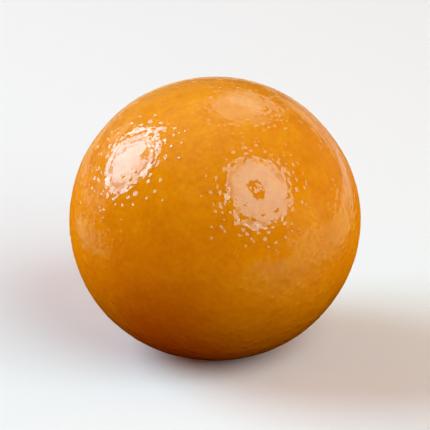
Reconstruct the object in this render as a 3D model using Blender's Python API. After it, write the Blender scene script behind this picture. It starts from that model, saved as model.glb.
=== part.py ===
"""Urad dal ladoo: one ball of sweetened urad dal flour, rolled between two palms.

The ball is one solid with nothing on it or in it. An even sphere takes, in this order, the slight
sag of soft dough under its own weight, the slow unevenness of packed flour, the marks of the
fingers, the soft flats of the palms, and last the small flat foot that it settled onto.

Metres, +Z up. -Y is the side shown to the viewer. The origin is the bottom centre of the ball's
box, so the foot lies in the plane z = 0.
"""

import math

import bmesh
import bpy
from mathutils import Matrix, Vector, noise

# Driving sizes
RADIUS = 0.0220  # of the sphere that the dough fills
SAG = 0.018  # share of the radius by which the ball has sunk; it has spread by half as much
BELLY = 0.004  # share of the radius by which the spread lies below the middle
FOOT_RADIUS = 0.0055  # of the flat foot, about
FOOT_REACH = 0.0080  # how far from the foot's middle the round side starts to roll into it
FOOT_SOFTNESS = 0.0010  # depth over which the round side rolls into the foot

# Packed flour: each layer of unevenness is (size of a lump, height of a lump)
UNEVENNESS = (
    (0.0150, 0.00018),
    (0.0070, 0.00005),
)
UNEVENNESS_START = Vector((3.7, 1.9, 8.3))  # the place in the noise that the ball is cut from

# Palm flats: (azimuth, elevation, radius). Azimuth 0 faces the viewer, 90 is the viewer's right.
PALM_FLATS = (
    (-52, 52, 0.0058),
    (22, -6, 0.0046),
    (66, -34, 0.0054),
    (122, 26, 0.0062),
    (-148, -12, 0.0056),
    (-92, -8, 0.0044),
    (172, 50, 0.0060),
)
PALM_SOFTNESS = 0.0012  # depth over which the round side rolls into a palm's flat

# Finger marks: (azimuth, elevation, radius, depth)
FINGER_MARKS = (
    (38, 62, 0.0046, 0.00010),
    (-30, -22, 0.0038, 0.00008),
    (96, 36, 0.0052, 0.00011),
    (-118, 30, 0.0044, 0.00012),
    (150, -34, 0.0050, 0.00010),
    (-172, 18, 0.0036, 0.00009),
)

# Mesh
FACES_ALONG_SIDE = 28  # of each of the six sides that the sphere is blown up from
RIM_SNAP = 0.00004  # a corner this near the table's level belongs to the foot's rim

# Finish
DOUGH_COLOUR = (0.78, 0.23, 0.0014, 1.0)  # golden brown, roasted flour under melted ghee
DOUGH_ROUGHNESS = 0.42
GHEE_FILM = 0.9  # coat weight
GHEE_ROUGHNESS = 0.06

DOWN = Vector((0, 0, -1))


def clear_scene():
    for old in list(bpy.data.objects):
        bpy.data.objects.remove(old)


def toward(azimuth, elevation):
    """The unit vector that leaves the ball's middle at these angles, in degrees."""
    around, above = math.radians(azimuth), math.radians(elevation)
    return Vector(
        (
            math.sin(around) * math.cos(above),
            -math.cos(around) * math.cos(above),
            math.sin(above),
        )
    )


def even_sphere():
    """A unit sphere blown up from a cube, with its faces of nearly one size."""
    ball = bmesh.new()
    bmesh.ops.create_cube(ball, size=2)
    bmesh.ops.subdivide_edges(
        ball, edges=ball.edges[:], cuts=FACES_ALONG_SIDE - 1, use_grid_fill=True
    )
    for vertex in ball.verts:
        spread = (math.tan(side * math.pi / 4) for side in vertex.co)
        vertex.co = Vector(spread).normalized()
    return ball


def sagged(direction):
    """The point in this direction on the sunken ball: wider than tall, and fullest below its middle."""
    up = direction.z
    sink = SAG * (3 * up**2 - 1) / 2
    belly = BELLY * (5 * up**3 - 3 * up) / 2
    return direction * RADIUS * (1 - sink + belly)


def unevenness(direction):
    """How far the packed flour stands out of the ball here."""
    return sum(
        height * noise.noise(UNEVENNESS_START + direction * RADIUS / lump)
        for lump, height in UNEVENNESS
    )


def finger_mark(direction, azimuth, elevation, radius, depth):
    """How deep a finger's shallow mark is in this direction."""
    away = (direction - toward(azimuth, elevation)).length * RADIUS
    return depth * math.exp(-((away / radius) ** 2))


def rolled(direction):
    """The point in this direction on the ball before anything has flattened it."""
    height = unevenness(direction)
    for mark in FINGER_MARKS:
        height -= finger_mark(direction, *mark)
    return sagged(direction) + direction * height


def level(face, radius):
    """How far along face the ball's surface lies where it is this far to the side of face."""
    return math.sqrt(rolled(face).length ** 2 - radius**2)


def settled(height, start, softness):
    """The height at which dough that stood at this height ends, if a flat presses from start on."""
    over = max(height - start, 0)
    return min(height, start) + softness * (1 - math.exp(-over / softness))


def pressed(point, face, start, softness):
    """The point after a flat surface, square to face, has pressed the dough from start on."""
    height = point.dot(face)
    return point + face * (settled(height, start, softness) - height)


def shape_dough(ball):
    flats = []
    for azimuth, elevation, radius in PALM_FLATS:
        palm = toward(azimuth, elevation)
        flats.append((palm, level(palm, radius), PALM_SOFTNESS))
    flats.append((DOWN, level(DOWN, FOOT_REACH), FOOT_SOFTNESS))
    for vertex in ball.verts:
        point = rolled(vertex.co.copy())
        for flat in flats:
            point = pressed(point, *flat)
        vertex.co = point


def cut_foot(ball):
    """Cuts the pressed dough off square at the table, so that the foot is truly flat."""
    rim_level = level(DOWN, FOOT_RADIUS)
    table = settled(rim_level, level(DOWN, FOOT_REACH), FOOT_SOFTNESS)
    bmesh.ops.bisect_plane(
        ball,
        geom=ball.verts[:] + ball.edges[:] + ball.faces[:],
        dist=RIM_SNAP,
        plane_co=DOWN * table,
        plane_no=-DOWN,
        use_snap_center=True,
        clear_inner=True,
    )
    rim = [edge for edge in ball.edges if edge.is_boundary]
    bmesh.ops.contextual_create(ball, geom=rim)


def stand_on_origin(ball):
    """Moves the ball so that the bottom centre of its box is the origin."""
    sides = list(zip(*(vertex.co for vertex in ball.verts)))
    middle_x, middle_y = ((min(side) + max(side)) / 2 for side in sides[:2])
    lowest = min(sides[2])
    ball.transform(Matrix.Translation((-middle_x, -middle_y, -lowest)))


def dough_material():
    """Roasted flour and jaggery, with a film of ghee as its coat."""
    material = bpy.data.materials.new("ladoo_dough")
    material.use_nodes = True
    surface = material.node_tree.nodes["Principled BSDF"]
    surface.inputs["Base Color"].default_value = DOUGH_COLOUR
    surface.inputs["Roughness"].default_value = DOUGH_ROUGHNESS
    surface.inputs["Metallic"].default_value = 0
    surface.inputs["Coat Weight"].default_value = GHEE_FILM
    surface.inputs["Coat Roughness"].default_value = GHEE_ROUGHNESS
    material.diffuse_color = DOUGH_COLOUR
    return material


def make_ladoo():
    ball = even_sphere()
    shape_dough(ball)
    cut_foot(ball)
    stand_on_origin(ball)
    bmesh.ops.recalc_face_normals(ball, faces=ball.faces)
    mesh = bpy.data.meshes.new("ladoo")
    ball.to_mesh(mesh)
    ball.free()
    mesh.shade_smooth()
    mesh.materials.append(dough_material())
    ladoo = bpy.data.objects.new("ladoo", mesh)
    bpy.context.scene.collection.objects.link(ladoo)


clear_scene()
make_ladoo()
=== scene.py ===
"""Finishes the urad dal ladoo: a ball of packed flour with grains, dents and a film of ghee.

Laid out as an add-on and run as a script. Each operator makes one piece, or the stage, and the
panel in the 3D view's sidebar lists them. Metres, +Z up, -Y towards the viewer.
"""

import math
from collections import namedtuple

import bpy
from mathutils import Matrix, Vector


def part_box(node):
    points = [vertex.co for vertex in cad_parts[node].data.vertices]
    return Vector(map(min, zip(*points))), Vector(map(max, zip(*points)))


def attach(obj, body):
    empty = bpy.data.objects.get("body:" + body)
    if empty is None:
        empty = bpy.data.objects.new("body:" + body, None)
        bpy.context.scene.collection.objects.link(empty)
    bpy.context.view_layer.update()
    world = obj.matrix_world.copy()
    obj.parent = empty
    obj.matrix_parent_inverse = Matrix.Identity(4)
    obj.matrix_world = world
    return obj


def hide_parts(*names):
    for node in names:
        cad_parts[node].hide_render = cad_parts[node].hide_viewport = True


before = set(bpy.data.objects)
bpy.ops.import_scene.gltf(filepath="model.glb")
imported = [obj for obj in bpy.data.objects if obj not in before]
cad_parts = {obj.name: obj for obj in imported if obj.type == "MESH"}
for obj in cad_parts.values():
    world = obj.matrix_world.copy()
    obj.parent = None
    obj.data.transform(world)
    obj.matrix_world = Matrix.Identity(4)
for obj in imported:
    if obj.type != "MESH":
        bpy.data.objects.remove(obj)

bl_info = {
    "name": "Urad Dal Ladoo",
    "version": (1, 0, 0),
    "blender": (4, 5, 0),
    "location": "View3D > Sidebar > Ladoo",
    "description": "Rolls one glossy ladoo and sets it on a studio floor",
    "category": "Object",
}

MM = 0.001

# The solid ball, as packed
SOLID_LOW, SOLID_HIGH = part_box("ladoo")
BALL_MIDDLE = (SOLID_LOW + SOLID_HIGH) / 2
BALL_WIDTH = SOLID_HIGH.x - SOLID_LOW.x
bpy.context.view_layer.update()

# Mesh of the ball: a cube's side is halved this many times, before and after it meets the solid
COARSE_LEVELS = 4
FINE_LEVELS = 3
BAKE_MAP = "OFBake"
BAKE_INSET = 0.006  # of each of the map's six squares, as a share of its side

# Round spots scattered over the ball: the usual distance between their places, their radius, and
# how many of the places have one
Spots = namedtuple("Spots", "gap radius share")
LOWEST_SPOT = 0.6  # height of the lowest spot, as a share of the highest

# Relief
GRAIN_SHARE = 0.75  # of the places for a coarse grain
DENT_SHARE = 0.7  # of the places for a dent
FOOT_FADE = 0.9 * MM  # height above the foot at which the relief is full
LOWEST_PLACE = (-1.0, -1.0, 0.0)  # at the floor's level, and far to the left and front of the ball

# Flour: each layer of mottling is (size of a patch, strength)
MOTTLING = (
    (6.0 * MM, 0.38),
    (2.2 * MM, 0.42),
    (0.7 * MM, 0.45),
)
FLECKS = Spots(2.1 * MM, 0.34 * MM, 0.5)
FLECK_STRENGTH = 0.6
CRUMBS = Spots(2.4 * MM, 0.32 * MM, 0.5)
CRUMB_STRENGTH = 0.7
CRUMB_SHIFT = (0.31, 0.17, 0.05)  # keeps the crumbs away from the flecks
ROUGHNESS = 0.40
ROUGHNESS_SPREAD = 0.06
SOAKED_SHARE = 0.12  # of the light on the flour, which soaks in and comes out again near by
SOAKED_REACH = 1.2 * MM
SOAKED_COLOURS = (1.0, 0.35, 0.08)  # how far red, green and blue get, as shares of the reach

# Film of ghee
FILM_PATCH = 3.0 * MM  # size of the patches in which the film is thinner or thicker
FILM_SPAN = (-0.9, 0.4)  # the noise where the film is thinnest, and where it is full
FILM_WEIGHTS = (0.8, 1.0)  # coat weight where it is thinnest, and where it is full
FILM_ROUGHNESS = 0.03
FILM_OVER_GRAIN = 0.075 * MM  # height of the film's bump over a coarse grain
GRIT = Spots(1.2 * MM, 0.6 * MM, 0.9)
FILM_OVER_GRIT = 0.102 * MM
FILM_RIPPLE_SIZE = 0.42 * MM
FILM_RIPPLE_HEIGHT = 0.002 * MM
DOUGH_UNDER_FILM = 0.2  # how much of the film's bumps the dough under it has

# Pools where the ghee has set thicker and hides most of the grit: (azimuth, elevation, radius)
POOLS = (
    (22, 33, 4.7 * MM),
    (-50, 41, 3.7 * MM),
    (-15, -18, 5.5 * MM),
    (68, -20, 5.0 * MM),
    (104, 22, 4.8 * MM),
    (158, 38, 5.2 * MM),
    (-150, 12, 5.6 * MM),
    (-98, -14, 4.6 * MM),
    (176, -28, 5.0 * MM),
    (-60, 78, 4.0 * MM),
    (32, 73, 4.8 * MM),
    (92, 52, 4.8 * MM),
    (78, 24, 4.8 * MM),
    (-140, 60, 4.4 * MM),
    (120, -34, 4.2 * MM),
)
POOL_EDGE = 1.2 * MM  # how wide a pool's edge is
UNDER_POOL = 0.15  # what is left of the grit under a pool

# A soft patch of light in the room, seen from the ball at this azimuth and elevation. Azimuth 0 is
# towards the viewer and 90 is the viewer's right. The patch is even within the angle middle, and
# fades out at the angle reach. All angles are in degrees.
Patch = namedtuple("Patch", "azimuth elevation middle reach strength tint")

# What the film of ghee mirrors above the floor
MIRRORED = (
    Patch(-135, 72, 8, 42, 0.56, (1.0, 0.88, 0.72)),
    Patch(161, 52, 9, 19, 1.60, (0.75, 0.98, 0.82)),
    Patch(161, 35, 6, 16, 1.20, (0.78, 0.98, 0.80)),
    Patch(105, 58, 0, 36, 0.20, (1.0, 0.90, 0.75)),
    Patch(122, 3, 12, 42, 0.17, (1.0, 0.88, 0.70)),
    Patch(156, 3, 3, 15, 0.76, (1.0, 0.95, 0.62)),
    Patch(-145, 18, 15, 55, 0.26, (1.0, 0.86, 0.66)),
    Patch(-110, 8, 2, 10, 1.00, (1.0, 0.95, 0.66)),
    Patch(-138, 19, 2, 12, 1.10, (0.9, 1.0, 0.74)),
    Patch(80, 2, 6, 24, 0.38, (1.0, 0.90, 0.70)),
    Patch(-20, 55, 4, 25, 0.14, (1.0, 0.92, 0.85)),
)
# What lights the flour itself
SHED = (
    Patch(-125, 18, 0, 55, 1.30, (1.0, 0.67, 0.34)),
    Patch(-60, 5, 0, 60, 1.06, (1.0, 0.20, 0.10)),
    Patch(80, 0, 0, 80, 1.26, (1.0, 0.32, 0.15)),
    Patch(125, 30, 0, 60, 0.45, (1.0, 0.80, 0.50)),
    Patch(-112, 2, 0, 30, 2.60, (1.0, 1.0, 0.40)),
)
DARK_ROOM = (0.012, 0.006, 0.002)  # between the patches
ROOM_SHOWN = (0.93, 0.92, 0.9)  # to the camera

# The floor as the film mirrors it, a painted reflection: brown near by, which stands in for more dough,
# with painted shade right under the ball, and pale on the right and at the back, which paints sheens on
# the film. Distances are in metres from under the ball's middle.
REFLECTED_BROWN_SHARE = 0.75  # brightness of the painted brown reflection, as a share of the dough's colour
PAINTED_FLOOR_SHADE = (0.03, 0.006, 0.0)  # painted shade: the floor's colour in the film right under the ball
PAINTED_SHADE_EDGE = (0.010, 0.045)  # where the painted shade is full, and where it ends
# Painted reflection: the pale floor shows only in the film, where it paints sheens on the ball
PALE_FLOOR = (0.80, 0.76, 0.43)
PALEST_FLOOR = (1.0, 1.0, 0.90)
PALER_BACK = (0.060, 0.240)  # how far back it starts to be paler, and where it is palest
RIGHT_EDGE = (0.045, 0.092)  # how far to the right the pale floor starts, and where it is full
RIGHT_SLANT = 0.27  # how far that edge shifts to the right for each metre back
FRONT_EDGE = (0.0, 0.050)  # how far back it starts on the right, and where it is full
FRONT_SLANT = 0.8  # how far that edge shifts to the front for each metre to the right
BACK_EDGE = (0.050, 0.220)  # how far back it starts behind the ball, and where it is full
BACK_SHARE = 0.36  # how much of the pale floor shows behind the ball

# Spots of pale floor beside the ball, painted so that the film shows them as sheens. A spot has its
# whole share within the distance full of its middle, and fades out at the distance end.
SheenSpot = namedtuple("SheenSpot", "middle end full share")
SHEEN_SPOTS = (
    SheenSpot(Vector((-0.110, 0.025, 0.0)), 0.057, 0.037, 0.8),
    SheenSpot(Vector((0.060, -0.046, 0.0)), 0.050, 0.008, 0.9),
)
SHADED_BOUNCE_COLOUR = (0.112, 0.035, 0.0)  # painted shade: the floor's colour to the flour's own light, a dark brown that keeps the ball dark underneath
FLOOR_WIDTH = 8.0

# A lamp's angles are in degrees: across and along are half the angles that its face takes up.
# Places on the face run from -1 to 1 across and along it, and lengths on it are measured so too.
# The light fades from the core, and edge is what is left of it on the far side. The hub is dark,
# with a bright middle of radius spot, or with none where that is 0. Round the face runs a dark
# gap, with this share of the light, and outside it, from rim_start on, a rim that is brightest in
# its own direction.
Lamp = namedtuple(
    "Lamp", "azimuth elevation across along core edge hub spot gap rim_start rim colour"
)
LEFT_LAMP = Lamp(
    azimuth=-106.6,
    elevation=32.8,
    across=21.2,
    along=20.8,
    core=(0.3, -0.1),
    edge=0.62,
    hub=(-0.22, -0.48),
    spot=0.0,
    gap=0.35,
    rim_start=0.80,
    rim=(-1.0, -0.2),
    colour=(0.37, 0.76, 0.98),
)
RIGHT_LAMP = Lamp(
    azimuth=47.0,
    elevation=38.5,
    across=26.0,
    along=27.0,
    core=(0.0, 0.0),
    edge=0.72,
    hub=(-0.02, 0.06),
    spot=0.07,
    gap=0.45,
    rim_start=0.91,
    rim=(-0.8, -0.6),
    colour=(0.55, 0.97, 1.0),
)
LAMP_DISTANCE = 1.0  # from the ball's middle
CORE_REACH = 1.4  # how far from the core the light has fallen to what the edge gets
HUB_RADIUS = 0.20
HUB_SHADE = 0.1  # the light that is left in a hub without a spot
GAP_WIDTH = 0.11  # of the dark gap inside the rim
RIM_GLOW = (1.2, 2.4)  # brightness of the rim on its dim side and on its bright side
RIM_SPAN = (-0.2, 0.6)  # where its dim side ends and its bright one starts, along its direction
FACE_SOFTNESS = 0.03  # width of the edges on the face

CLIP_RATIO = 100  # the camera sees from so many times nearer to so many times farther than the ball

# A Mix node's sockets for colours share their names with those for numbers, so their places tell
# them apart
MIX_SHARE, MIX_FIRST, MIX_SECOND = 0, 6, 7
MIXED = 2  # among its outputs


class LadooDough(bpy.types.PropertyGroup):
    """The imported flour: its relief and its colours."""

    lump_size: bpy.props.FloatProperty(
        name="Lump Size",
        description="Width of the slow swells that palms leave",
        default=6.0 * MM,
        unit="LENGTH",
    )
    lump_height: bpy.props.FloatProperty(
        name="Lump Height",
        description="Height of the slow swells",
        default=0.08 * MM,
        unit="LENGTH",
        precision=5,
    )
    ripple_size: bpy.props.FloatProperty(
        name="Ripple Size",
        description="Width of the small ripples where the film follows the flour",
        default=1.2 * MM,
        unit="LENGTH",
    )
    ripple_height: bpy.props.FloatProperty(
        name="Ripple Height",
        description="Height of the small ripples",
        default=0.018 * MM,
        unit="LENGTH",
        precision=5,
    )
    grain_gap: bpy.props.FloatProperty(
        name="Grain Gap",
        description="Usual distance between coarse grains in the dough",
        default=1.7 * MM,
        unit="LENGTH",
    )
    grain_radius: bpy.props.FloatProperty(
        name="Grain Radius",
        description="Reach of the bump that a coarse grain makes",
        default=0.8 * MM,
        unit="LENGTH",
    )
    grain_height: bpy.props.FloatProperty(
        name="Grain Height",
        description="Height of the bump that a coarse grain makes",
        default=0.045 * MM,
        unit="LENGTH",
        precision=5,
    )
    dent_gap: bpy.props.FloatProperty(
        name="Dent Gap",
        description="Usual distance between small dents",
        default=4.6 * MM,
        unit="LENGTH",
    )
    dent_radius: bpy.props.FloatProperty(
        name="Dent Radius",
        description="Reach of a small dent",
        default=0.8 * MM,
        unit="LENGTH",
    )
    dent_depth: bpy.props.FloatProperty(
        name="Dent Depth",
        description="Depth of a small dent",
        default=0.045 * MM,
        unit="LENGTH",
        precision=5,
    )
    colour: bpy.props.FloatVectorProperty(
        name="Dough",
        description="Roasted flour under ghee",
        subtype="COLOR",
        default=(0.78, 0.23, 0.0014),
        min=0,
        max=1,
    )
    pale_colour: bpy.props.FloatVectorProperty(
        name="Pale Flour",
        description="Grains that the ghee has not soaked through",
        subtype="COLOR",
        default=(0.88, 0.37, 0.004),
        min=0,
        max=1,
    )
    toasted_colour: bpy.props.FloatVectorProperty(
        name="Toasted Flour",
        description="Grains that have browned",
        subtype="COLOR",
        default=(0.56, 0.145, 0.0008),
        min=0,
        max=1,
    )


class LadooStage(bpy.types.PropertyGroup):
    """The floor, the lamps and the camera."""

    elevation: bpy.props.FloatProperty(
        name="Camera Height",
        description="How far the camera looks down on the ball",
        default=math.radians(22),
        subtype="ANGLE",
    )
    lens: bpy.props.FloatProperty(
        name="Lens", description="Focal length", default=260, unit="CAMERA"
    )
    fill: bpy.props.FloatProperty(
        name="Fill",
        description="Share of the picture's width that the ball takes",
        default=0.68,
        subtype="FACTOR",
    )
    floor_colour: bpy.props.FloatVectorProperty(
        name="Floor",
        description="Colour of the floor",
        subtype="COLOR",
        default=(0.79, 0.68, 0.67),
        min=0,
        max=1,
    )
    left_lamp: bpy.props.FloatProperty(
        name="Left Lamp", description="Brightness of the left softbox", default=11.6
    )
    right_lamp: bpy.props.FloatProperty(
        name="Right Lamp", description="Brightness of the right softbox", default=5.5
    )


def toward(azimuth, elevation):
    """The unit vector that leaves the ball's middle at these angles, in degrees."""
    around, above = math.radians(azimuth), math.radians(elevation)
    return Vector(
        (
            math.sin(around) * math.cos(above),
            -math.cos(around) * math.cos(above),
            math.sin(above),
        )
    )


class Graph:
    """Adds nodes to a tree. What is given for a socket is linked to it if it is a socket too."""

    def __init__(self, tree):
        self.tree = tree

    def node(self, kind, sockets=None, **settings):
        made = self.tree.nodes.new(kind)
        for name, value in settings.items():
            setattr(made, name, value)
        for name, value in (sockets or {}).items():
            self.feed(made.inputs[name], value)
        return made

    def feed(self, socket, value):
        if isinstance(value, bpy.types.NodeSocket):
            self.tree.links.new(value, socket)
        else:
            socket.default_value = value

    def maths(self, operation, *values):
        made = self.node("ShaderNodeMath", operation=operation)
        for socket, value in zip(made.inputs, values):
            self.feed(socket, value)
        return made.outputs[0]

    def distance(self, place, middle):
        return self.node(
            "ShaderNodeVectorMath", {0: place, 1: middle}, operation="DISTANCE"
        ).outputs["Value"]

    def colour_mix(self, share, first, second):
        """The first colour where share is 0, and the second where it is 1."""
        mix = self.node("ShaderNodeMix", data_type="RGBA")
        self.feed(mix.inputs[MIX_SHARE], share)
        for socket, colour in ((MIX_FIRST, first), (MIX_SECOND, second)):
            linked = isinstance(colour, bpy.types.NodeSocket)
            self.feed(mix.inputs[socket], colour if linked else (*colour, 1))
        return mix.outputs[MIXED]

    def noise(self, place, size):
        """Noise from -1 to 1 whose lumps have this size."""
        raw = self.node("ShaderNodeTexNoise", {"Vector": place, "Scale": 1 / size}).outputs[0]
        return self.maths("MULTIPLY_ADD", raw, 2.0, -1.0)

    def ramp(self, value, start, end, low=0.0, high=1.0):
        """A smooth step from low at start to high at end."""
        sockets = {
            "Value": value,
            "From Min": start,
            "From Max": end,
            "To Min": low,
            "To Max": high,
        }
        made = self.node("ShaderNodeMapRange", sockets, interpolation_type="SMOOTHSTEP")
        return made.outputs[0]

    def uncovered(self, place):
        """How much of the grit stands out: 1 between the pools of ghee, and less in them."""
        bare = 1.0
        for azimuth, elevation, radius in POOLS:
            middle = BALL_MIDDLE + toward(azimuth, elevation) * BALL_WIDTH / 2
            away = self.distance(place, middle)
            bare = self.maths("MINIMUM", bare, self.ramp(away, radius - POOL_EDGE, radius))
        return self.maths("MULTIPLY_ADD", bare, 1 - UNDER_POOL, UNDER_POOL)

    def scattered(self, place, spots):
        """Round spots that reach a height between LOWEST_SPOT and 1 in their middle."""
        sockets = {"Vector": place, "Scale": 1 / spots.gap}
        cells = self.node("ShaderNodeTexVoronoi", sockets)
        spot = self.ramp(cells.outputs["Distance"], spots.radius / spots.gap, 0.0)
        chance = self.node("ShaderNodeSeparateXYZ", {0: cells.outputs["Color"]})
        there = self.maths("LESS_THAN", chance.outputs[0], spots.share)
        height = self.maths("MULTIPLY_ADD", chance.outputs[1], 1 - LOWEST_SPOT, LOWEST_SPOT)
        return self.maths("MULTIPLY", spot, self.maths("MULTIPLY", there, height))


def new_group(name, kind, inputs, outputs):
    """An empty node group. Its sockets are given by name, each with the type of its value."""
    tree = bpy.data.node_groups.new(name, kind)
    for way, sockets in (("INPUT", inputs), ("OUTPUT", outputs)):
        for socket, value_type in sockets.items():
            tree.interface.new_socket(socket, in_out=way, socket_type="NodeSocket" + value_type)
    return tree


def grain_spots(dough):
    return Spots(dough.grain_gap, dough.grain_radius, GRAIN_SHARE)


def deselect_all():
    if bpy.context.mode != "OBJECT":
        bpy.ops.object.mode_set(mode="OBJECT")
    bpy.ops.object.select_all(action="DESELECT")


def apply_modifier(kind, **settings):
    """Adds a modifier to the active object and applies it."""
    piece = bpy.context.object
    modifier = piece.modifiers.new(kind.title(), kind)
    for name, value in settings.items():
        setattr(modifier, name, value)
    bpy.ops.object.modifier_apply(modifier=modifier.name)


def divide(levels):
    """Halves the faces' sides this many times, and rounds the active object as it does so."""
    apply_modifier("SUBSURF", levels=levels, render_levels=levels, uv_smooth="NONE")


def lay_out_cube_map(piece):
    """Gives each of the cube's six sides a square of its own, three beside each other in two rows."""
    bake_map = piece.data.uv_layers.active
    bake_map.name = BAKE_MAP
    for side in piece.data.polygons:
        column, row = side.index % 3, side.index // 3
        for corner, loop in enumerate(side.loop_indices):
            across = column + (BAKE_INSET if corner in (0, 3) else 1 - BAKE_INSET)
            up = row + (BAKE_INSET if corner in (0, 1) else 1 - BAKE_INSET)
            bake_map.data[loop].uv = (across / 3, up / 2)


def blow_up_ball():
    """A cube blown up until it lies on the solid, with faces of nearly one size."""
    deselect_all()
    bpy.ops.mesh.primitive_cube_add(size=BALL_WIDTH, location=BALL_MIDDLE)
    ball = bpy.context.object
    ball.name = ball.data.name = "ladoo_ball"
    lay_out_cube_map(ball)
    divide(COARSE_LEVELS)
    apply_modifier("CAST", factor=1.0, radius=BALL_WIDTH / 2, use_radius_as_size=False)
    bpy.ops.object.transform_apply(location=True, rotation=True, scale=True)
    apply_modifier(
        "SHRINKWRAP", target=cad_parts["ladoo"], wrap_method="NEAREST_SURFACEPOINT"
    )
    divide(FINE_LEVELS)
    bpy.ops.object.shade_smooth()
    return ball


def relief_group(dough):
    """Raises the swells, ripples and grains of the dough, and sinks its dents."""
    ball = {"Ball": "Geometry"}
    tree = new_group("Hand-rolled relief", "GeometryNodeTree", ball, ball)
    graph = Graph(tree)
    start = graph.node("NodeGroupInput").outputs["Ball"]
    place = graph.node("GeometryNodeInputPosition").outputs[0]
    lumps = graph.noise(place, dough.lump_size)
    height = graph.maths("MULTIPLY", lumps, dough.lump_height)
    ripples = graph.noise(place, dough.ripple_size)
    height = graph.maths("MULTIPLY_ADD", ripples, dough.ripple_height, height)
    grains = graph.scattered(place, grain_spots(dough))
    grains = graph.maths("MULTIPLY", grains, graph.uncovered(place))
    height = graph.maths("MULTIPLY_ADD", grains, dough.grain_height, height)
    dents = graph.scattered(place, Spots(dough.dent_gap, dough.dent_radius, DENT_SHARE))
    height = graph.maths("MULTIPLY_ADD", dents, -dough.dent_depth, height)
    level = graph.node("ShaderNodeSeparateXYZ", {0: place}).outputs["Z"]
    height = graph.maths("MULTIPLY", height, graph.ramp(level, 0.0, FOOT_FADE))
    outward = graph.node("GeometryNodeInputNormal").outputs[0]
    rise = graph.node(
        "ShaderNodeVectorMath", {0: outward, "Scale": height}, operation="SCALE"
    )
    moved = graph.node("GeometryNodeSetPosition", {"Geometry": start, "Offset": rise.outputs[0]})
    place_now = graph.node("GeometryNodeInputPosition").outputs[0]
    not_below = graph.node(
        "ShaderNodeVectorMath", {0: place_now, 1: LOWEST_PLACE}, operation="MAXIMUM"
    )
    settled = graph.node(
        "GeometryNodeSetPosition",
        {"Geometry": moved.outputs[0], "Position": not_below.outputs[0]},
    )
    graph.node("NodeGroupOutput", {"Ball": settled.outputs[0]})
    return tree


def speck_group():
    """Mottling and specks of flour: where the dough is paler, and where it is browner."""
    tree = new_group(
        "Flour specks", "ShaderNodeTree", {"Place": "Vector"}, {"Pale": "Float", "Toasted": "Float"}
    )
    graph = Graph(tree)
    place = graph.node("NodeGroupInput").outputs["Place"]
    tone = 0.0
    for size, strength in MOTTLING:
        tone = graph.maths("MULTIPLY_ADD", graph.noise(place, size), strength, tone)
    flecks = graph.scattered(place, FLECKS)
    paler = graph.maths("MAXIMUM", tone, 0.0)
    pale = graph.maths("MULTIPLY_ADD", flecks, FLECK_STRENGTH, paler)
    shifted = graph.node(
        "ShaderNodeVectorMath", {0: place, 1: CRUMB_SHIFT}, operation="ADD"
    ).outputs[0]
    crumbs = graph.scattered(shifted, CRUMBS)
    browner = graph.maths("MAXIMUM", graph.maths("MULTIPLY", tone, -1.0), 0.0)
    toasted = graph.maths("MULTIPLY_ADD", crumbs, CRUMB_STRENGTH, browner)
    graph.node("NodeGroupOutput", {"Pale": pale, "Toasted": toasted})
    return tree


def film_group():
    """Patches of the surface: how rough the flour is, and how thick the film of ghee on it is."""
    tree = new_group(
        "Ghee film", "ShaderNodeTree", {"Place": "Vector"}, {"Roughness": "Float", "Film": "Float"}
    )
    graph = Graph(tree)
    place = graph.node("NodeGroupInput").outputs["Place"]
    patches = graph.noise(place, FILM_PATCH)
    rough = graph.maths("MULTIPLY_ADD", patches, ROUGHNESS_SPREAD, ROUGHNESS)
    film = graph.ramp(patches, *FILM_SPAN, *FILM_WEIGHTS)
    graph.node("NodeGroupOutput", {"Roughness": rough, "Film": film})
    return tree


def film_height(graph, place, dough):
    """The height of the film where it lies over grit, and over the grains that stand up under it."""
    grains = graph.scattered(place, grain_spots(dough))
    grit = graph.scattered(place, GRIT)
    height = graph.maths("MULTIPLY", grains, FILM_OVER_GRAIN)
    height = graph.maths("MULTIPLY_ADD", grit, FILM_OVER_GRIT, height)
    height = graph.maths("MULTIPLY", height, graph.uncovered(place))
    ripples = graph.noise(place, FILM_RIPPLE_SIZE)
    return graph.maths("MULTIPLY_ADD", ripples, FILM_RIPPLE_HEIGHT, height)


def dough_material(dough):
    material = bpy.data.materials.new("roasted_dough_in_ghee")
    material.use_nodes = True
    material.node_tree.nodes.clear()
    graph = Graph(material.node_tree)
    place = graph.node("ShaderNodeTexCoord").outputs["Object"]
    specks = graph.node("ShaderNodeGroup", node_tree=speck_group())
    film = graph.node("ShaderNodeGroup", node_tree=film_group())
    for group in (specks, film):
        graph.feed(group.inputs["Place"], place)
    colour = graph.colour_mix(specks.outputs["Pale"], dough.colour, dough.pale_colour)
    colour = graph.colour_mix(specks.outputs["Toasted"], colour, dough.toasted_colour)
    bump = {"Height": film_height(graph, place, dough), "Distance": 1.0}
    film_bump = graph.node("ShaderNodeBump", bump)
    dough_bump = graph.node("ShaderNodeBump", {**bump, "Strength": DOUGH_UNDER_FILM})
    surface = graph.node(
        "ShaderNodeBsdfPrincipled",
        {
            "Base Color": colour,
            "Roughness": film.outputs["Roughness"],
            "Normal": dough_bump.outputs[0],
            "Coat Weight": film.outputs["Film"],
            "Coat Roughness": FILM_ROUGHNESS,
            "Coat Normal": film_bump.outputs[0],
            "Specular IOR Level": 0.0,  # all the gloss is the film's
            "Subsurface Weight": SOAKED_SHARE,
            "Subsurface Radius": SOAKED_COLOURS,
            "Subsurface Scale": SOAKED_REACH,
        },
    )
    graph.node("ShaderNodeOutputMaterial", {"Surface": surface.outputs[0]})
    return material


class LADOO_OT_ball(bpy.types.Operator):
    """Roll the ball over the solid and give it its finish"""

    bl_idname = "ladoo.ball"
    bl_label = "Roll Ball"

    def execute(self, context):
        dough = context.scene.ladoo_dough
        ball = blow_up_ball()
        apply_modifier("NODES", node_group=relief_group(dough))
        ball.data.materials.clear()
        ball.data.materials.append(dough_material(dough))
        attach(ball, "root")
        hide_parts("ladoo")
        return {"FINISHED"}


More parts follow.
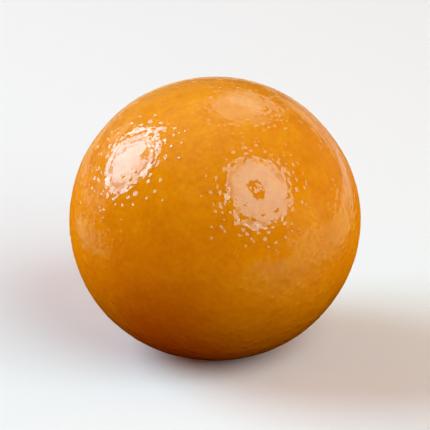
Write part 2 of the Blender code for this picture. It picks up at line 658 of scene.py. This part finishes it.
def camera_axes(elevation):
    """The camera's right, up and back, for a camera that looks along +Y and down by elevation."""
    right = Vector((1, 0, 0))
    up = Vector((0, math.sin(elevation), math.cos(elevation)))
    back = Vector((0, -math.cos(elevation), math.sin(elevation)))
    return right, up, back


def add_camera(stage):
    deselect_all()
    right, up, back = camera_axes(stage.elevation)
    bpy.ops.object.camera_add()
    camera = bpy.context.object
    camera.name = "view_camera"
    camera.data.lens = stage.lens
    half_angle = math.atan(camera.data.sensor_width / 2 / stage.lens)
    distance = BALL_WIDTH / stage.fill / 2 / math.tan(half_angle)
    turn = Matrix((right, up, back)).transposed().to_4x4()
    camera.matrix_world = Matrix.Translation(BALL_MIDDLE + back * distance) @ turn
    camera.data.clip_start = distance / CLIP_RATIO
    camera.data.clip_end = distance * CLIP_RATIO
    bpy.context.scene.camera = camera


def lamp_glow(lamp, shape):
    """Lights the lamp's face: brightest at its core, with a dark hub, a dark gap and a bright rim."""
    lamp.data.use_nodes = True
    tree = lamp.data.node_tree
    tree.nodes.clear()
    graph = Graph(tree)
    raw = graph.node("ShaderNodeNewGeometry").outputs["Parametric"]
    # The face's places come as 0 to 1, and are stretched to -1 to 1
    face = graph.node(
        "ShaderNodeVectorMath", {0: raw, 1: (2, 2, 0), 2: (-1, -1, 0)}, operation="MULTIPLY_ADD"
    ).outputs[0]
    from_core = graph.distance(face, (*shape.core, 0))
    glow = graph.ramp(from_core, 0.0, CORE_REACH, 1.0, shape.edge)
    away = graph.distance(face, (0, 0, 0))
    toward_rim = graph.node(
        "ShaderNodeVectorMath", {0: face, 1: (*shape.rim, 0)}, operation="DOT_PRODUCT"
    ).outputs["Value"]
    rim = graph.ramp(toward_rim, *RIM_SPAN, *RIM_GLOW)
    rim_start = shape.rim_start
    rim = graph.maths("MULTIPLY", rim, graph.ramp(away, rim_start, rim_start + FACE_SOFTNESS))
    gap_start = rim_start - GAP_WIDTH
    inside = graph.ramp(away, gap_start + FACE_SOFTNESS, gap_start, shape.gap, 1.0)
    glow = graph.maths("MULTIPLY", glow, graph.maths("MAXIMUM", inside, rim))
    from_hub = graph.distance(face, (*shape.hub, 0))
    clear = graph.ramp(from_hub, HUB_RADIUS, HUB_RADIUS + FACE_SOFTNESS)
    hub_light = HUB_SHADE
    if shape.spot:
        hub_light = graph.ramp(from_hub, shape.spot + FACE_SOFTNESS, shape.spot)
    clear = graph.maths("MAXIMUM", clear, hub_light)
    light = graph.node("ShaderNodeEmission", {"Strength": graph.maths("MULTIPLY", glow, clear)})
    graph.node("ShaderNodeOutputLight", {"Surface": light.outputs[0]})


def add_softbox(name, shape, radiance, elevation):
    """An oval lamp that looks this bright from the ball, its along side square to the camera's view."""
    deselect_all()
    bpy.ops.object.light_add(type="AREA")
    lamp = bpy.context.object
    lamp.name = name
    outward = toward(shape.azimuth, shape.elevation)
    along = camera_axes(elevation)[2].cross(outward).normalized()
    across = along.cross(outward)
    turn = Matrix((across, along, outward)).transposed().to_4x4()
    lamp.matrix_world = Matrix.Translation(BALL_MIDDLE + outward * LAMP_DISTANCE) @ turn
    half_sizes = [
        LAMP_DISTANCE * math.tan(math.radians(angle)) for angle in (shape.across, shape.along)
    ]
    lamp.data.shape = "ELLIPSE"
    lamp.data.size, lamp.data.size_y = (2 * half for half in half_sizes)
    area = math.pi * half_sizes[0] * half_sizes[1]
    lamp.data.energy = radiance * math.pi * area
    lamp.data.color = shape.colour
    lamp.visible_camera = False
    lamp_glow(lamp, shape)


def mirrored_floor(graph, dough_colour):
    """The floor's colour in the film, a painted reflection: brown near by with painted shade right
    under the ball, and pale beyond, mostly on the right, where it paints sheens.
    """
    place = graph.node("ShaderNodeTexCoord").outputs["Object"]
    sides = graph.node("ShaderNodeSeparateXYZ", {0: place}).outputs
    rightward = graph.maths("MULTIPLY_ADD", sides["Y"], -RIGHT_SLANT, sides["X"])
    backward = graph.maths("MULTIPLY_ADD", sides["X"], FRONT_SLANT, sides["Y"])
    # Painted reflection: where the floor is pale in the film, which puts sheens on the ball
    pale = graph.maths(
        "MULTIPLY", graph.ramp(rightward, *RIGHT_EDGE), graph.ramp(backward, *FRONT_EDGE)
    )
    behind = graph.ramp(sides["Y"], *BACK_EDGE, 0.0, BACK_SHARE)
    pale = graph.maths("MAXIMUM", pale, behind)
    for spot in SHEEN_SPOTS:
        away = graph.distance(place, spot.middle)
        pale = graph.maths("MAXIMUM", pale, graph.ramp(away, spot.end, spot.full, 0.0, spot.share))
    # Painted shade: the mirrored floor darkens towards the point under the ball
    out_of_painted_shade = graph.ramp(graph.distance(place, Vector()), *PAINTED_SHADE_EDGE)
    near = graph.colour_mix(out_of_painted_shade, PAINTED_FLOOR_SHADE, [REFLECTED_BROWN_SHARE * part for part in dough_colour])
    paler = graph.ramp(sides["Y"], *PALER_BACK)
    return graph.colour_mix(pale, near, graph.colour_mix(paler, PALE_FLOOR, PALEST_FLOOR))


def floor_material(colour, dough_colour):
    """Pale where it is looked at. To the ball it is painted: dark brown to the flour, a painted shade
    on its underside, and in its film a painted reflection, brown near by and pale beyond.
    """
    material = bpy.data.materials.new("stage_floor")
    material.use_nodes = True
    material.node_tree.nodes.clear()
    graph = Graph(material.node_tree)
    path = graph.node("ShaderNodeLightPath")
    mirrored = mirrored_floor(graph, dough_colour)
    # Painted shade and reflection: to the ball the floor is dark brown, and in its film it is the
    # mirrored floor
    painted_for_ball = graph.colour_mix(path.outputs["Is Glossy Ray"], SHADED_BOUNCE_COLOUR, mirrored)
    shown = graph.colour_mix(path.outputs["Is Camera Ray"], painted_for_ball, colour)
    surface = graph.node("ShaderNodeBsdfDiffuse", {"Color": shown})
    graph.node("ShaderNodeOutputMaterial", {"Surface": surface.outputs[0]})
    return material


def add_floor(stage, dough):
    deselect_all()
    bpy.ops.mesh.primitive_plane_add(size=FLOOR_WIDTH)
    floor = bpy.context.object
    floor.name = "studio_floor"
    floor.data.materials.append(floor_material(stage.floor_colour, dough.colour))


class Room(Graph):
    """A world's tree whose light is built up from soft patches."""

    def __init__(self, tree):
        super().__init__(tree)
        self.way = self.node("ShaderNodeTexCoord").outputs["Generated"]

    def facing(self, direction):
        """The cosine of the angle to a direction."""
        return self.node(
            "ShaderNodeVectorMath", {0: self.way, 1: direction}, operation="DOT_PRODUCT"
        ).outputs["Value"]

    def fade(self, cosine, start, end, high):
        """A step from 0 at one angle, in degrees, to high at another."""
        first, last = (math.cos(math.radians(angle)) for angle in (start, end))
        return self.ramp(cosine, first, last, 0.0, high)

    def add(self, light, strength, tint):
        glow = self.node("ShaderNodeBackground", {"Color": (*tint, 1), "Strength": strength})
        return self.node("ShaderNodeAddShader", {0: light, 1: glow.outputs[0]}).outputs[0]

    def patches(self, patches):
        light = self.node("ShaderNodeBackground", {"Color": (*DARK_ROOM, 1)}).outputs[0]
        for patch in patches:
            cosine = self.facing(toward(patch.azimuth, patch.elevation))
            strength = self.fade(cosine, patch.reach, patch.middle, patch.strength)
            light = self.add(light, strength, patch.tint)
        return light


def light_room():
    """The room is pale to the camera. The flour and its film see soft patches of light."""
    world = bpy.data.worlds.new("room")
    bpy.context.scene.world = world
    world.use_nodes = True
    world.node_tree.nodes.clear()
    graph = Room(world.node_tree)
    path = graph.node("ShaderNodeLightPath")
    shed = graph.patches(SHED)
    mirrored = graph.patches(MIRRORED)
    shown = graph.node("ShaderNodeBackground", {"Color": (*ROOM_SHOWN, 1)})
    mix = graph.node(
        "ShaderNodeMixShader", {0: path.outputs["Is Glossy Ray"], 1: shed, 2: mirrored}
    )
    mix = graph.node(
        "ShaderNodeMixShader",
        {0: path.outputs["Is Camera Ray"], 1: mix.outputs[0], 2: shown.outputs[0]},
    )
    graph.node("ShaderNodeOutputWorld", {"Surface": mix.outputs[0]})


class LADOO_OT_stage(bpy.types.Operator):
    """Add the floor, the lamps and the camera"""

    bl_idname = "ladoo.stage"
    bl_label = "Set Stage"

    def execute(self, context):
        stage = context.scene.ladoo_stage
        add_floor(stage, context.scene.ladoo_dough)
        add_softbox("left_softbox", LEFT_LAMP, stage.left_lamp, stage.elevation)
        add_softbox("right_softbox", RIGHT_LAMP, stage.right_lamp, stage.elevation)
        light_room()
        add_camera(stage)
        context.scene.view_settings.view_transform = "Standard"
        return {"FINISHED"}


class LADOO_PT_panel(bpy.types.Panel):
    """The steps, in the order in which they are made"""

    bl_idname = "LADOO_PT_panel"
    bl_label = "Urad Dal Ladoo"
    bl_space_type = "VIEW_3D"
    bl_region_type = "UI"
    bl_category = "Ladoo"

    def draw(self, context):
        for settings in (context.scene.ladoo_dough, context.scene.ladoo_stage):
            column = self.layout.column()
            for name in settings.__annotations__:
                column.prop(settings, name)
        self.layout.operator("ladoo.ball")
        self.layout.operator("ladoo.stage")


CLASSES = (LadooDough, LadooStage, LADOO_OT_ball, LADOO_OT_stage, LADOO_PT_panel)


def register():
    for each in CLASSES:
        bpy.utils.register_class(each)
    bpy.types.Scene.ladoo_dough = bpy.props.PointerProperty(type=LadooDough)
    bpy.types.Scene.ladoo_stage = bpy.props.PointerProperty(type=LadooStage)


def unregister():
    del bpy.types.Scene.ladoo_stage
    del bpy.types.Scene.ladoo_dough
    for each in reversed(CLASSES):
        bpy.utils.unregister_class(each)


def main():
    register()
    bpy.ops.ladoo.ball()
    bpy.ops.ladoo.stage()


if __name__ == "__main__":
    main()
